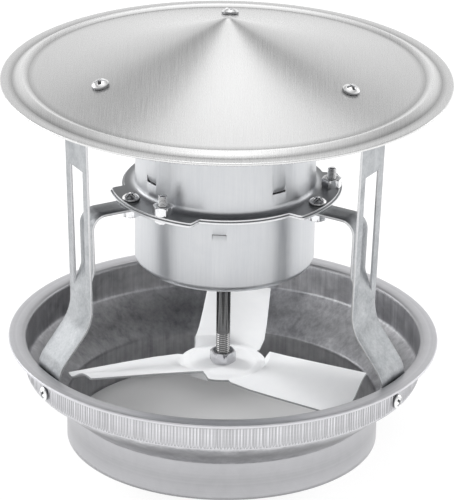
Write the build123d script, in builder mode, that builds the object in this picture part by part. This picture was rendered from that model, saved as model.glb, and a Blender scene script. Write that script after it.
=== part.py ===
from build123d import *
import os
from math import atan, atan2, cos, degrees, hypot, radians, sin, sqrt, tan

# Chimney draught fan: a spun rain cap on three folded legs, a motor in two drawn cups,
# and a fan in a spun base pan. Sizes are in millimetres. The origin is the centre of the
# collar's lower edge, and +Z runs up the flue axis.

# Legs stand at these angles about the flue axis, seen from above.
leg_angles = {"leg_back": 90, "leg_left": 210, "leg_right": 330}

# Base pan: collar, sloping shoulder, ribbed band and hemmed rim, spun from one sheet.
pan_sheet = 0.8
collar_diameter = 176.0
collar_height = 22.5
shoulder_top = 42.0
rim_height = 61.2
rim_diameter = 242.2
rim_width = 9.4
band_diameter = rim_diameter - 2 * rim_width
rim_hem_radius = 0.6
rim_hem_return = 2.5
collar_bend = 3.0
band_bend = 3.5
rim_bend = 2.0
rib_count = 150
rib_depth = 0.7
rib_length = 14.5

# Rain cap: a hollowed cone with a raised bead and a hemmed edge, spun from one sheet.
cap_sheet = 0.8
cap_diameter = 250.0
cap_rim_height = 214.9
cap_rim_width = 6.9
cap_hem_radius = 0.8
cap_hem_return = 2.0
bead_width = 8.7
bead_rise = 5.4
bead_crest_run = 2.2
bead_top_bend = 2.2
bead_foot_bend = 1.5
bead_lead = 3.5
cone_foot_rise = 3.4
cone_rise = 31.3
cone_sag = 3.9
tip_half_width = 2.5

# Legs: one strip each, folded at the top under the cap and at the bottom against the band.
leg_sheet = 1.5
leg_width = 25.0
leg_top_radius = 94.4
leg_waist_radius = 90.0
leg_waist_height = 90.0
leg_foot_knee_height = 64.2
leg_foot_bottom = 43.0
leg_tab_length = 26.0
leg_tab_bend = 3.0
leg_waist_bend = 25.0
leg_knee_bend = 15.0
leg_corner = 2.0
leg_slot_width = 14.8
leg_slot_bottom = 106.5
leg_slot_top = 179.0
tongue_offset = 4.7
tongue_joggle = 12.0
tongue_joggle_bend = 9.0
tongue_bend = 8.0
tongue_end_radius = 53.6

# Motor cups: two drawn cups, flange to flange, with three ears for the fasteners.
cup_sheet = 1.2
cup_diameter = 100.6
cup_depth = 45.5
cup_corner = 4.0
seam_height = 152.7
flange_bend = 3.4
flange_diameter = 115.0
ear_diameter = 130.0
ear_span = 67.0
ear_corner = 3.0
bolt_circle = 118.4
bolt_step = 26.0
tab_count = 4
tab_width = 10.0
tab_reach = 3.0
tab_slit = 1.7
upper_tab_angle = 37.0
lower_tab_angle = 87.5
pocket_bend = 1.5

# Motor works: laminated stator with wound slots, cage rotor, stepped shaft, two ball bearings.
stator_height = 20.0
stator_bore = 56.0
slot_count = 12
slot_width = 7.0
slot_depth = 12.0
slot_lip = 2.5
slot_mouth = 2.6
winding_overhang = 12.0
winding_gap = 0.4
air_gap = 0.4
cage_bar_count = 16
cage_bar_width = 2.2
cage_bar_depth = 6.0
cage_ring_height = 5.0
cage_ring_inner_diameter = 34.0
shaft_diameter = 8.0
rotor_seat_diameter = 10.0
shaft_bottom = 33.0
bearing_diameter = 22.0
bearing_width = 7.0
bearing_inner_diameter = 12.0
bearing_face_step = 0.3
bearing_play = 0.05

# Fan: three pressed blades on a dished hub, clamped between two nuts on the shaft's thread.
fan_sheet = 1.2
fan_diameter = 174.0
fan_phase = 86.0
fan_count = 3
hub_diameter = 49.0
hub_height = 42.6
hub_rise = 0.8
hub_land_diameter = 38.0
hub_step_run = 3.0
blade_root_radius = 17.0
blade_root_chord = 30.0
blade_root_pitch = 3.0
blade_neck_radius = 33.0
blade_neck_chord = 38.6
blade_neck_pitch = 10.0
blade_neck_rise = 3.3
blade_tip_chord = 37.0
blade_tip_pitch = 17.8
blade_tip_rise = 6.3
blade_shift = -2.3
blade_camber = 1.2
fan_nut_flats = 13.0
fan_nut_height = 6.5

# Fasteners: M5 pan screws, studs and nuts on the cap and flange, M4 on the base.
large_thread = 5.0
large_head_diameter = 10.0
large_head_height = 3.2
large_head_edge = 1.0
large_nut_flats = 10.0
large_nut_height = 5.0
stud_standing = 6.0
small_thread = 4.0
small_head_diameter = 8.0
small_head_height = 2.6
small_head_edge = 0.8
small_nut_flats = 7.0
small_nut_height = 3.2
cap_screw_radius = 78.0
base_screw_height = 47.5
thread_tail = 1.5

# Cable grommet in the closed end of the upper cup.
grommet_radius_from_axis = 31.0
grommet_angle = 90.0
grommet_hole_diameter = 11.0
grommet_lip = 2.2
grommet_lip_height = 2.0
cable_diameter = 6.0

# Fits.
hole_play = 0.3
thread_play = 0.05
seat_gap = 0.1
cap_seat_gap = 0.45
foot_gap = 0.1
cutter_margin = 1.0
running_gap = 1.0


# Shared geometry

def polar(radius, angle, height):
    """Point at this radius and angle about the flue axis."""
    turn = radians(angle)
    return (radius * cos(turn), radius * sin(turn), height)


def radial_plane(angle):
    """Upright plane through the flue axis: x runs outwards at this angle, y runs up."""
    turn = radians(angle)
    return Plane(origin=(0, 0, 0), x_dir=(cos(turn), sin(turn), 0), z_dir=(sin(turn), -cos(turn), 0))


def outward_plane(radius, angle, height, tilt=90.0):
    """Plane whose normal leans outwards by tilt from straight up, with x along the tangent."""
    turn = radians(angle)
    lean = radians(tilt)
    normal = (sin(lean) * cos(turn), sin(lean) * sin(turn), cos(lean))
    return Plane(origin=polar(radius, angle, height), x_dir=(-sin(turn), cos(turn), 0), z_dir=normal)


def write(piece, name):
    """Label a finished piece and write its file."""
    piece.label = name
    export_step(piece, f"parts/{name}.step")


os.makedirs("parts", exist_ok=True)
first_leg_angle = min(leg_angles.values())


# Rain cap

cap_edge_radius = cap_diameter / 2 - cap_sheet / 2 - cap_hem_radius
bead_outer_radius = cap_diameter / 2 - cap_rim_width
bead_inner_radius = bead_outer_radius - bead_width
bead_crest_radius = bead_inner_radius + bead_crest_run
cone_foot_height = cap_rim_height + cone_foot_rise
cone_top_height = cone_foot_height + cone_rise
cone_end_radius = bead_inner_radius - bead_lead

# The cone's line is an arc that hangs below its chord, so its slope eases towards the bead.
cone_run = cone_end_radius - tip_half_width
cone_chord = hypot(cone_run, cone_rise)
chord_slope = atan2(cone_rise, cone_run)
half_turn = 2 * atan(2 * cone_sag / cone_chord)
cone_arc_radius = cone_chord / (2 * sin(half_turn))
top_slope = chord_slope + half_turn
foot_slope = chord_slope - half_turn
arc_centre_radius = tip_half_width + cone_arc_radius * sin(top_slope)
arc_centre_height = cone_top_height + cone_arc_radius * cos(top_slope)
tip_height = cone_top_height + tip_half_width * tan(top_slope / 2)


def cone_height(radius):
    """Height of the middle of the cone's sheet."""
    across = arc_centre_radius - radius
    return arc_centre_height - sqrt(cone_arc_radius ** 2 - across ** 2)


def cone_slope(radius):
    """How far the cone falls away from level at this radius, in degrees."""
    across = arc_centre_radius - radius
    return degrees(atan2(across, sqrt(cone_arc_radius ** 2 - across ** 2)))


bead_foot = (bead_inner_radius, cone_foot_height - bead_lead * tan(foot_slope))
screw_tilt = cone_slope(cap_screw_radius)

with BuildPart() as rain_cap:
    with BuildSketch(Plane.XZ):
        with BuildLine():
            TangentArc((0, tip_height), (tip_half_width, cone_top_height), tangent=(1, 0))
            ThreePointArc(
                (tip_half_width, cone_top_height),
                (cap_screw_radius, cone_height(cap_screw_radius)),
                (cone_end_radius, cone_foot_height),
            )
            FilletPolyline(
                (cone_end_radius, cone_foot_height),
                bead_foot,
                (bead_crest_radius, cap_rim_height + bead_rise),
                (bead_outer_radius, cap_rim_height),
                (cap_edge_radius, cap_rim_height),
                radius=[bead_foot_bend, bead_top_bend, bead_foot_bend],
            )
            hem = TangentArc(
                (cap_edge_radius, cap_rim_height),
                (cap_edge_radius, cap_rim_height - 2 * cap_hem_radius),
                tangent=(1, 0),
            )
            Line(hem @ 1, (cap_edge_radius - cap_hem_return, cap_rim_height - 2 * cap_hem_radius))
        trace(line_width=cap_sheet)
    revolve(axis=Axis.Z)
    for angle in leg_angles.values():
        with BuildSketch(outward_plane(cap_screw_radius, angle, cone_height(cap_screw_radius), screw_tilt)):
            Circle(large_thread / 2 + hole_play)
        extrude(amount=cap_sheet + cutter_margin, both=True, mode=Mode.SUBTRACT)
write(rain_cap.part, "rain_cap")


# Base pan

pan_half = pan_sheet / 2
collar_mid_radius = collar_diameter / 2 - pan_half
band_mid_radius = band_diameter / 2 - pan_half
band_inner_radius = band_diameter / 2 - pan_sheet
rim_mid_height = rim_height - pan_half
rim_edge_radius = rim_diameter / 2 - pan_half - rim_hem_radius
rib_crest_radius = band_diameter / 2 + rib_depth
rib_bottom = shoulder_top + band_bend / 2

with BuildPart() as base_pan:
    with BuildSketch(Plane.XZ):
        with BuildLine():
            FilletPolyline(
                (collar_mid_radius, 0),
                (collar_mid_radius, collar_height),
                (band_mid_radius, shoulder_top),
                (band_mid_radius, rim_mid_height),
                (rim_edge_radius, rim_mid_height),
                radius=[collar_bend, band_bend, rim_bend],
            )
            hem = TangentArc(
                (rim_edge_radius, rim_mid_height),
                (rim_edge_radius, rim_mid_height - 2 * rim_hem_radius),
                tangent=(1, 0),
            )
            Line(hem @ 1, (rim_edge_radius - rim_hem_return, rim_mid_height - 2 * rim_hem_radius))
        trace(line_width=pan_sheet)
    revolve(axis=Axis.Z)
    # Crimped ribs stand out of the band all the way round.
    rib_points = []
    for step in range(2 * rib_count):
        rib_radius = rib_crest_radius if step % 2 else band_diameter / 2
        rib_points.append(polar(rib_radius, step * 180 / rib_count, 0))
    with BuildSketch(Plane.XY.offset(rib_bottom)):
        with BuildLine():
            Polyline(*rib_points, close=True)
        make_face()
        Circle(band_mid_radius, mode=Mode.SUBTRACT)
    extrude(amount=rib_length)
    for angle in leg_angles.values():
        with BuildSketch(outward_plane(band_mid_radius, angle, base_screw_height)):
            Circle(small_thread / 2 + hole_play)
        extrude(amount=rib_depth + pan_sheet + cutter_margin, both=True, mode=Mode.SUBTRACT)
write(base_pan.part, "base_pan")


# Motor cups

cup_half = cup_sheet / 2
cup_outer_radius = cup_diameter / 2
cup_mid_radius = cup_outer_radius - cup_half
cup_inner_radius = cup_outer_radius - cup_sheet
pocket_mid_radius = bearing_diameter / 2 + thread_play + cup_half
stator_bottom = seam_height + running_gap / 2 - stator_height / 2
stator_top = stator_bottom + stator_height
ear_angles = [angle + bolt_step / 2 for angle in leg_angles.values()]


def motor_cup(side, tab_angle, open_end):
    """One drawn cup: side is +1 for the upper and -1 for the lower, which the shaft leaves."""
    flange_mid = seam_height + side * cup_half
    end_mid = seam_height + side * (cup_depth - cup_half)
    pocket_mid = end_mid + side * (bearing_width + cup_half)
    tab_face = stator_top if side > 0 else stator_bottom
    with BuildPart() as cup:
        with BuildSketch(Plane.XZ):
            with BuildLine():
                FilletPolyline(
                    (0, pocket_mid),
                    (pocket_mid_radius, pocket_mid),
                    (pocket_mid_radius, end_mid),
                    (cup_mid_radius, end_mid),
                    (cup_mid_radius, flange_mid),
                    (flange_diameter / 2, flange_mid),
                    radius=[pocket_bend, pocket_bend, cup_corner, flange_bend + cup_half],
                )
            trace(line_width=cup_sheet)
        revolve(axis=Axis.Z)
        # Three ears widen the flange where it is fastened.
        with BuildSketch(Plane.XY.offset(flange_mid - cup_half)) as ears:
            for angle in ear_angles:
                with BuildLine():
                    outer = CenterArc((0, 0), ear_diameter / 2, angle - ear_span / 2, ear_span)
                    inner = CenterArc((0, 0), flange_diameter / 2 - cup_sheet, angle - ear_span / 2, ear_span)
                    Line(outer @ 0, inner @ 0)
                    Line(outer @ 1, inner @ 1)
                make_face()
            fillet(ears.vertices().group_by(lambda v: round(hypot(v.X, v.Y), 3))[-1], ear_corner)
        extrude(amount=cup_sheet)
        with BuildSketch(Plane.XY.offset(flange_mid)):
            for shift in (0, bolt_step):
                with PolarLocations(bolt_circle / 2, len(leg_angles), first_leg_angle + shift):
                    Circle(large_thread / 2 + hole_play)
        extrude(amount=cup_sheet, both=True, mode=Mode.SUBTRACT)
        # Tabs lanced from the wall and bent inwards hold the stator.
        slit_height = tab_face + side * (cup_sheet + tab_slit / 2)
        with Locations((0, 0, slit_height)):
            with PolarLocations(cup_mid_radius, tab_count, tab_angle):
                Box(2 * cup_sheet, tab_width, tab_slit, mode=Mode.SUBTRACT)
        with Locations((0, 0, tab_face + side * cup_half)):
            with PolarLocations(cup_mid_radius - (tab_reach + cup_half) / 2, tab_count, tab_angle):
                Box(tab_reach + cup_half, tab_width, cup_sheet)
        if open_end:
            with Locations((0, 0, pocket_mid)):
                Cylinder(bearing_inner_diameter / 2 + running_gap, 2 * cup_sheet, mode=Mode.SUBTRACT)
        else:
            with Locations(polar(grommet_radius_from_axis, grommet_angle, end_mid)):
                Cylinder(grommet_hole_diameter / 2, 2 * cup_sheet, mode=Mode.SUBTRACT)
    return cup.part


upper_end_inside = seam_height + cup_depth - cup_sheet
lower_end_inside = seam_height - cup_depth + cup_sheet
write(motor_cup(1, upper_tab_angle, False), "upper_motor_cup")
write(motor_cup(-1, lower_tab_angle, True), "lower_motor_cup")


# Cable grommet: a rubber ring snapped into the hole in the upper cup's end

grommet_end = seam_height + cup_depth
grommet_lip_radius = grommet_hole_diameter / 2 + grommet_lip
with BuildPart() as cable_grommet:
    with BuildSketch(Plane(polar(grommet_radius_from_axis, grommet_angle, upper_end_inside - grommet_lip_height))):
        Circle(grommet_lip_radius)
        Circle(cable_diameter / 2, mode=Mode.SUBTRACT)
    extrude(amount=2 * grommet_lip_height + cup_sheet)
    with BuildSketch(Plane(polar(grommet_radius_from_axis, grommet_angle, upper_end_inside))):
        Circle(grommet_lip_radius + cutter_margin)
        Circle(grommet_hole_diameter / 2 - thread_play, mode=Mode.SUBTRACT)
    extrude(amount=cup_sheet, mode=Mode.SUBTRACT)
write(cable_grommet.part, "cable_grommet")


# Stator

slot_outer_radius = stator_bore / 2 + slot_lip + slot_depth
with BuildPart() as stator_core:
    with BuildSketch(Plane.XY.offset(stator_bottom)):
        Circle(cup_inner_radius - seat_gap)
        Circle(stator_bore / 2, mode=Mode.SUBTRACT)
        with PolarLocations(slot_outer_radius - slot_depth / 2, slot_count):
            Rectangle(slot_depth, slot_width, mode=Mode.SUBTRACT)
        with PolarLocations(stator_bore / 2 + slot_lip / 2, slot_count):
            Rectangle(2 * slot_lip, slot_mouth, mode=Mode.SUBTRACT)
    extrude(amount=stator_height)
write(stator_core.part, "stator_core")

winding_outer_radius = slot_outer_radius - winding_gap
winding_depth = slot_depth - 2 * winding_gap
with BuildPart() as stator_windings:
    with BuildSketch(Plane.XY.offset(stator_bottom - winding_gap - winding_overhang)):
        Circle(winding_outer_radius)
        Circle(winding_outer_radius - winding_depth, mode=Mode.SUBTRACT)
    extrude(amount=winding_overhang)
    fillet(stator_windings.edges().group_by(Axis.Z)[0], winding_overhang / 4)
    with BuildSketch(Plane.XY.offset(stator_top + winding_gap)):
        Circle(winding_outer_radius)
        Circle(winding_outer_radius - winding_depth, mode=Mode.SUBTRACT)
    extrude(amount=winding_overhang)
    fillet(stator_windings.edges().group_by(Axis.Z)[-1], winding_overhang / 4)
    with BuildSketch(Plane.XY.offset(stator_bottom - 2 * winding_gap)):
        with PolarLocations(slot_outer_radius - slot_depth / 2, slot_count):
            Rectangle(winding_depth - winding_gap, slot_width - 2 * winding_gap)
    extrude(amount=stator_height + 4 * winding_gap)
write(stator_windings.part, "stator_windings")


# Rotor

rotor_radius = stator_bore / 2 - air_gap
bar_mid_radius = rotor_radius - cage_bar_depth / 2
with BuildPart() as rotor_core:
    with BuildSketch(Plane.XY.offset(stator_bottom)):
        Circle(rotor_radius)
        Circle(rotor_seat_diameter / 2, mode=Mode.SUBTRACT)
        with PolarLocations(bar_mid_radius + cutter_margin / 2, cage_bar_count):
            Rectangle(cage_bar_depth + cutter_margin, cage_bar_width, mode=Mode.SUBTRACT)
    extrude(amount=stator_height)
write(rotor_core.part, "rotor_core")

with BuildPart() as rotor_cage:
    for ring_bottom in (stator_bottom - cage_ring_height, stator_top):
        with BuildSketch(Plane.XY.offset(ring_bottom)):
            Circle(rotor_radius - seat_gap)
            Circle(cage_ring_inner_diameter / 2, mode=Mode.SUBTRACT)
        extrude(amount=cage_ring_height)
    with BuildSketch(Plane.XY.offset(stator_bottom)):
        with PolarLocations(bar_mid_radius - seat_gap, cage_bar_count):
            Rectangle(cage_bar_depth - 2 * seat_gap, cage_bar_width - 2 * seat_gap)
    extrude(amount=stator_height)
write(rotor_cage.part, "rotor_cage")


# Shaft and bearings

upper_pocket_face = upper_end_inside + bearing_width
lower_pocket_face = lower_end_inside - bearing_width

with BuildPart() as motor_shaft:
    with BuildSketch(Plane.XY.offset(shaft_bottom)):
        Circle(shaft_diameter / 2)
    extrude(amount=upper_pocket_face - bearing_face_step - shaft_bottom)
    chamfer(motor_shaft.edges().group_by(Axis.Z)[0], shaft_diameter / 10)
    seat_bottom = lower_end_inside - bearing_face_step
    seat_top = upper_end_inside + bearing_face_step
    with BuildSketch(Plane.XY.offset(seat_bottom)):
        Circle(rotor_seat_diameter / 2)
    extrude(amount=seat_top - seat_bottom)
write(motor_shaft.part, "motor_shaft")


def bearing_ring(outer_radius, inner_radius, bottom, width):
    """Plain turned ring about the flue axis."""
    with BuildPart() as ring:
        with BuildSketch(Plane.XY.offset(bottom)):
            Circle(outer_radius)
            Circle(inner_radius, mode=Mode.SUBTRACT)
        extrude(amount=width)
    return ring.part


for name, bottom in (("upper_bearing", upper_end_inside), ("lower_bearing", lower_pocket_face)):
    outer_ring = bearing_ring(bearing_diameter / 2, bearing_inner_diameter / 2 + bearing_play, bottom, bearing_width)
    write(outer_ring, f"{name}_outer_ring")
    inner_ring = bearing_ring(
        bearing_inner_diameter / 2,
        shaft_diameter / 2,
        bottom + bearing_face_step,
        bearing_width - 2 * bearing_face_step,
    )
    write(inner_ring, f"{name}_inner_ring")


# Legs

leg_half = leg_sheet / 2
foot_face_radius = sqrt(band_inner_radius ** 2 - (leg_width / 2) ** 2) - foot_gap
foot_mid_radius = foot_face_radius - leg_half
waist_mid_radius = leg_waist_radius - leg_half
top_mid_radius = leg_top_radius - leg_half
tab_drop = cap_sheet / 2 + cap_seat_gap + leg_half
tab_tilt = radians(screw_tilt)
tab_anchor = (
    cap_screw_radius - tab_drop * sin(tab_tilt),
    cone_height(cap_screw_radius) - tab_drop * cos(tab_tilt),
)


def on_tab(radius):
    """Point of the tab's middle line, which lies along the cone under the cap screw."""
    return (radius, tab_anchor[1] - (radius - tab_anchor[0]) * tan(tab_tilt))


def on_strip(height):
    """Point of the leaning strip's middle line."""
    top = on_tab(top_mid_radius)
    share = (height - leg_waist_height) / (top[1] - leg_waist_height)
    return (waist_mid_radius + share * (top[0] - waist_mid_radius), height)


tongue_height = seam_height - cup_sheet - leg_half
tongue_foot = on_strip(leg_slot_bottom - leg_half)
tongue_joggled = on_strip(leg_slot_bottom + tongue_joggle)
tongue_corner = on_strip(tongue_height)
slot_middle = on_strip((leg_slot_bottom + leg_slot_top) / 2)


def leg(angle):
    """One leg, folded from a strip, with its motor tongue lanced out of the slot."""
    plane = radial_plane(angle)
    with BuildPart() as strip:
        with BuildSketch(plane):
            with BuildLine():
                FilletPolyline(
                    on_tab(top_mid_radius - leg_tab_length),
                    on_tab(top_mid_radius),
                    (waist_mid_radius, leg_waist_height),
                    (foot_mid_radius, leg_foot_knee_height),
                    (foot_mid_radius, leg_foot_bottom),
                    radius=[leg_tab_bend, leg_waist_bend, leg_knee_bend],
                )
            trace(line_width=leg_sheet)
        extrude(amount=leg_width / 2, both=True)
        ends = strip.edges().filter_by(lambda e: abs(e.length - leg_sheet) < leg_sheet / 100)
        fillet(ends, leg_corner)
        with BuildSketch(outward_plane(slot_middle[0], angle, slot_middle[1])):
            Rectangle(leg_slot_width, leg_slot_top - leg_slot_bottom)
        extrude(amount=tongue_offset, both=True, mode=Mode.SUBTRACT)
        with BuildSketch(plane):
            with BuildLine():
                FilletPolyline(
                    tongue_foot,
                    (tongue_joggled[0] - tongue_offset, tongue_joggled[1]),
                    (tongue_corner[0] - tongue_offset, tongue_corner[1]),
                    (tongue_end_radius, tongue_height),
                    radius=[tongue_joggle_bend, tongue_bend],
                )
            trace(line_width=leg_sheet)
        extrude(amount=leg_slot_width / 2 - seat_gap, both=True)
        with BuildSketch(outward_plane(tab_anchor[0], angle, tab_anchor[1], screw_tilt)):
            Circle(large_thread / 2 + hole_play)
        extrude(amount=leg_sheet, both=True, mode=Mode.SUBTRACT)
        with BuildSketch(Plane(polar(bolt_circle / 2, angle, tongue_height))):
            Circle(large_thread / 2 + hole_play)
        extrude(amount=leg_sheet, both=True, mode=Mode.SUBTRACT)
        with BuildSketch(outward_plane(foot_mid_radius, angle, base_screw_height)):
            Circle(small_thread / 2 + hole_play)
        extrude(amount=leg_sheet, both=True, mode=Mode.SUBTRACT)
    return strip.part


for name, angle in leg_angles.items():
    write(leg(angle), name)


# Fasteners

def pan_screw(head_diameter, head_height, head_edge, thread, length):
    """Pan-head screw: its head seats on z = 0 and its shank runs down."""
    with BuildPart() as screw:
        with BuildSketch(Plane.XZ):
            with BuildLine():
                Polyline((0, head_height), (0, -length), (thread / 2, -length), (thread / 2, 0))
                Polyline((thread / 2, 0), (head_diameter / 2, 0), (head_diameter / 2, head_edge))
                TangentArc((0, head_height), (head_diameter / 2, head_edge), tangent=(1, 0))
            make_face()
        revolve(axis=Axis.Z)
    return screw.part


def hex_nut(flats, height, thread):
    """Hexagon nut standing on z = 0."""
    with BuildPart() as nut:
        with BuildSketch():
            RegularPolygon(flats / 2, 6, major_radius=False)
            Circle(thread / 2 + thread_play, mode=Mode.SUBTRACT)
        extrude(amount=height)
    return nut.part


def group(piece, planes, name):
    """Like pieces, one on each plane, written as one set."""
    with BuildPart() as pieces:
        for plane in planes:
            with Locations(plane):
                add(piece)
    write(pieces.part, name)


cap_seat = cap_sheet / 2 + seat_gap
cap_grip = cap_seat + tab_drop + leg_half
cap_screw = pan_screw(
    large_head_diameter, large_head_height, large_head_edge, large_thread,
    cap_grip + large_nut_height + thread_tail,
)
large_nut = hex_nut(large_nut_flats, large_nut_height, large_thread)
cap_planes = []
cap_nut_planes = []
for angle in leg_angles.values():
    seat = outward_plane(cap_screw_radius, angle, cone_height(cap_screw_radius), screw_tilt)
    cap_planes.append(seat.offset(cap_seat))
    cap_nut_planes.append(seat.offset(cap_seat - cap_grip - large_nut_height))
group(cap_screw, cap_planes, "cap_screws")
group(large_nut, cap_nut_planes, "cap_nuts")

flange_top = seam_height + cup_sheet
flange_bottom = seam_height - cup_sheet
flange_grip = 2 * cup_sheet + leg_sheet
flange_screw = pan_screw(
    large_head_diameter, large_head_height, large_head_edge, large_thread,
    flange_grip + large_nut_height + thread_tail,
)
screw_spots = [polar(bolt_circle / 2, angle, flange_top) for angle in leg_angles.values()]
group(flange_screw, [Plane(spot) for spot in screw_spots], "flange_screws")
nut_drop = flange_grip + large_nut_height
group(large_nut, [Plane(spot).offset(-nut_drop) for spot in screw_spots], "flange_screw_nuts")

with BuildPart() as flange_bolt:
    with BuildSketch(Plane.XY.offset(-large_nut_height)):
        RegularPolygon(large_nut_flats / 2, 6, major_radius=False)
    extrude(amount=large_nut_height)
    with BuildSketch():
        Circle(large_thread / 2)
    extrude(amount=2 * cup_sheet + large_nut_height + stud_standing)
    chamfer(flange_bolt.edges().group_by(Axis.Z)[-1], large_thread / 10)
bolt_angles = [angle + bolt_step for angle in leg_angles.values()]
bolt_planes = [outward_plane(bolt_circle / 2, angle, flange_bottom, 0) for angle in bolt_angles]
group(flange_bolt.part, bolt_planes, "flange_bolts")
group(large_nut, [plane.offset(2 * cup_sheet) for plane in bolt_planes], "flange_bolt_nuts")

base_seat_radius = rib_crest_radius + seat_gap
base_grip = base_seat_radius - foot_face_radius + leg_sheet
base_screw = pan_screw(
    small_head_diameter, small_head_height, small_head_edge, small_thread,
    base_grip + small_nut_height + thread_tail,
)
small_nut = hex_nut(small_nut_flats, small_nut_height, small_thread)
base_planes = [outward_plane(base_seat_radius, angle, base_screw_height) for angle in leg_angles.values()]
group(base_screw, base_planes, "base_screws")
group(small_nut, [plane.offset(-base_grip - small_nut_height) for plane in base_planes], "base_nuts")


# Fan

hub_land_height = hub_height + hub_rise
fan_half = fan_sheet / 2

# Each blade leaves the hub nearly level, then rises and twists towards its tip.
blade_stations = [
    (blade_root_radius, hub_height, blade_root_chord, blade_root_pitch, 0),
    (blade_neck_radius, hub_height + blade_neck_rise, blade_neck_chord, blade_neck_pitch, blade_shift),
    (fan_diameter / 2, hub_height + blade_tip_rise, blade_tip_chord, blade_tip_pitch, blade_shift),
]
fan_angles = [fan_phase + step * 360 / fan_count for step in range(fan_count)]

with BuildPart() as fan_blade:
    with BuildSketch(Plane.XZ):
        with BuildLine():
            FilletPolyline(
                (shaft_diameter / 2 + hole_play, hub_land_height),
                (hub_land_diameter / 2, hub_land_height),
                (hub_land_diameter / 2 + hub_step_run, hub_height),
                (hub_diameter / 2, hub_height),
                radius=2 * fan_sheet,
            )
        trace(line_width=fan_sheet)
    revolve(axis=Axis.Z)
    for angle in fan_angles:
        for radius, height, chord, pitch, shift in blade_stations:
            reach = Vector(chord / 2, 0).rotate(Axis.Z, pitch)
            bow = Vector(0, blade_camber * pitch / blade_tip_pitch).rotate(Axis.Z, pitch)
            middle = Vector(shift, 0)
            with BuildSketch(outward_plane(radius, angle, height)):
                with BuildLine():
                    ThreePointArc(middle - reach, middle + bow, middle + reach)
                trace(line_width=fan_sheet)
        loft(ruled=True)
    # The blades were cut from a round blank, so their tips follow a circle.
    with BuildSketch(Plane.XY.offset(hub_height - blade_tip_chord)):
        Circle(fan_diameter / 2)
    extrude(amount=2 * blade_tip_chord, mode=Mode.INTERSECT)
write(fan_blade.part, "fan_blade")

nut_seat = hub_land_height + fan_half
fan_nut = hex_nut(fan_nut_flats, fan_nut_height, shaft_diameter)
group(fan_nut, [Plane.XY.offset(nut_seat)], "fan_nut_upper")
group(fan_nut, [Plane.XY.offset(hub_land_height - fan_half - fan_nut_height)], "fan_nut_lower")
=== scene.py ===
# %% [markdown]
# # A chimney draught fan
#
# The real object is a rain cap on three folded legs, a motor in two drawn cups, and a white fan in a spun
# pan. The CAD frame already holds every piece at its size. This lesson dresses it: sheet metal that is spun
# or folded the way a workshop does it, small fasteners with their recesses and threads, and finishes made
# from nodes.

# %% Load the frame
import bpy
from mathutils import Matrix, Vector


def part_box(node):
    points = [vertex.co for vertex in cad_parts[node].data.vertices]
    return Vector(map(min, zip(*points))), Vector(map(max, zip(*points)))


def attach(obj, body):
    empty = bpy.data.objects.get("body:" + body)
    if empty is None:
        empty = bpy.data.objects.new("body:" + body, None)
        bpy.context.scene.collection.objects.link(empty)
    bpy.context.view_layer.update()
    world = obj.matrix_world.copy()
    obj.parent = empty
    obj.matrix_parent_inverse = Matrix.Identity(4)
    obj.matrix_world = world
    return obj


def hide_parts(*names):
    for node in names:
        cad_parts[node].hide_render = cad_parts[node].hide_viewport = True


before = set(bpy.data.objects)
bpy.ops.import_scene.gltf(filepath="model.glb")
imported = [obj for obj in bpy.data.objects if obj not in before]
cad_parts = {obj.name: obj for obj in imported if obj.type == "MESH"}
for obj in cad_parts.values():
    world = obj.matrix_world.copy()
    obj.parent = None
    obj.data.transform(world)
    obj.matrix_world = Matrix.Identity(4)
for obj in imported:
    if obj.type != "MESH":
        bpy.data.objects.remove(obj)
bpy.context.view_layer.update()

import math
import random

import bmesh
import bpy
from mathutils import Matrix, Vector

MM = 0.001
MERGE_DISTANCE = 1e-7
STRAIGHT_TURN = 1e-4
BEVEL_ANGLE = math.radians(40)
BEVEL_SEGMENTS = 2
LEG_ANGLES = {"leg_back": 90, "leg_left": 210, "leg_right": 330}

# %% [markdown]
# ## Helpers for lines and sheets
#
# Nearly every piece here starts as a line: the section of a spun sheet, or the side view of a folded strip.
# `rounded` turns a few corner points into such a line with bends of a given radius. `spin_line` turns it
# about the flue axis, as a lathe would. `grow` extrudes a row of edges. A piece may carry painted shade
# and painted highlights as a value on its points: darker in its creases and recesses, brighter on its
# edges and crests. `finish_piece` makes the object, gives it a finish and ties it to its body.

# %% Lines, spins and finished pieces
def rounded(points, radii, segments=6):
    """Corner points to a line with round bends; radii has one value for each inner corner."""
    corners = [Vector(p) for p in points]
    line = [corners[0]]
    for before, corner, after, radius in zip(corners, corners[1:], corners[2:], radii):
        to_before = (before - corner).normalized()
        to_after = (after - corner).normalized()
        turn = math.pi - to_before.angle(to_after)
        if radius == 0 or turn < STRAIGHT_TURN:
            line.append(corner)
            continue
        start = corner + to_before * radius * math.tan(turn / 2)
        middle = corner + (to_before + to_after).normalized() * radius / math.cos(turn / 2)
        arm = start - middle
        side = 1 if to_before.x * to_after.y - to_before.y * to_after.x < 0 else -1
        for step in range(segments + 1):
            angle = side * turn * step / segments
            line.append(middle + Matrix.Rotation(angle, 2) @ arm)
    line.append(corners[-1])
    return line


def arc(centre, radius, start, sweep, segments):
    """Points of a round stretch, in degrees, without its first point."""
    angles = [math.radians(start + sweep * step / segments) for step in range(1, segments + 1)]
    return [Vector((centre[0] + radius * math.cos(a), centre[1] + radius * math.sin(a))) for a in angles]


def hem(edge, height, radius, back, segments):
    """The fold of a hem: half a turn down from the edge, then a short way back."""
    fold = arc((edge, height - radius), radius, 90, -180, segments)
    return fold + [Vector((edge - back, height - 2 * radius))]


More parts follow.
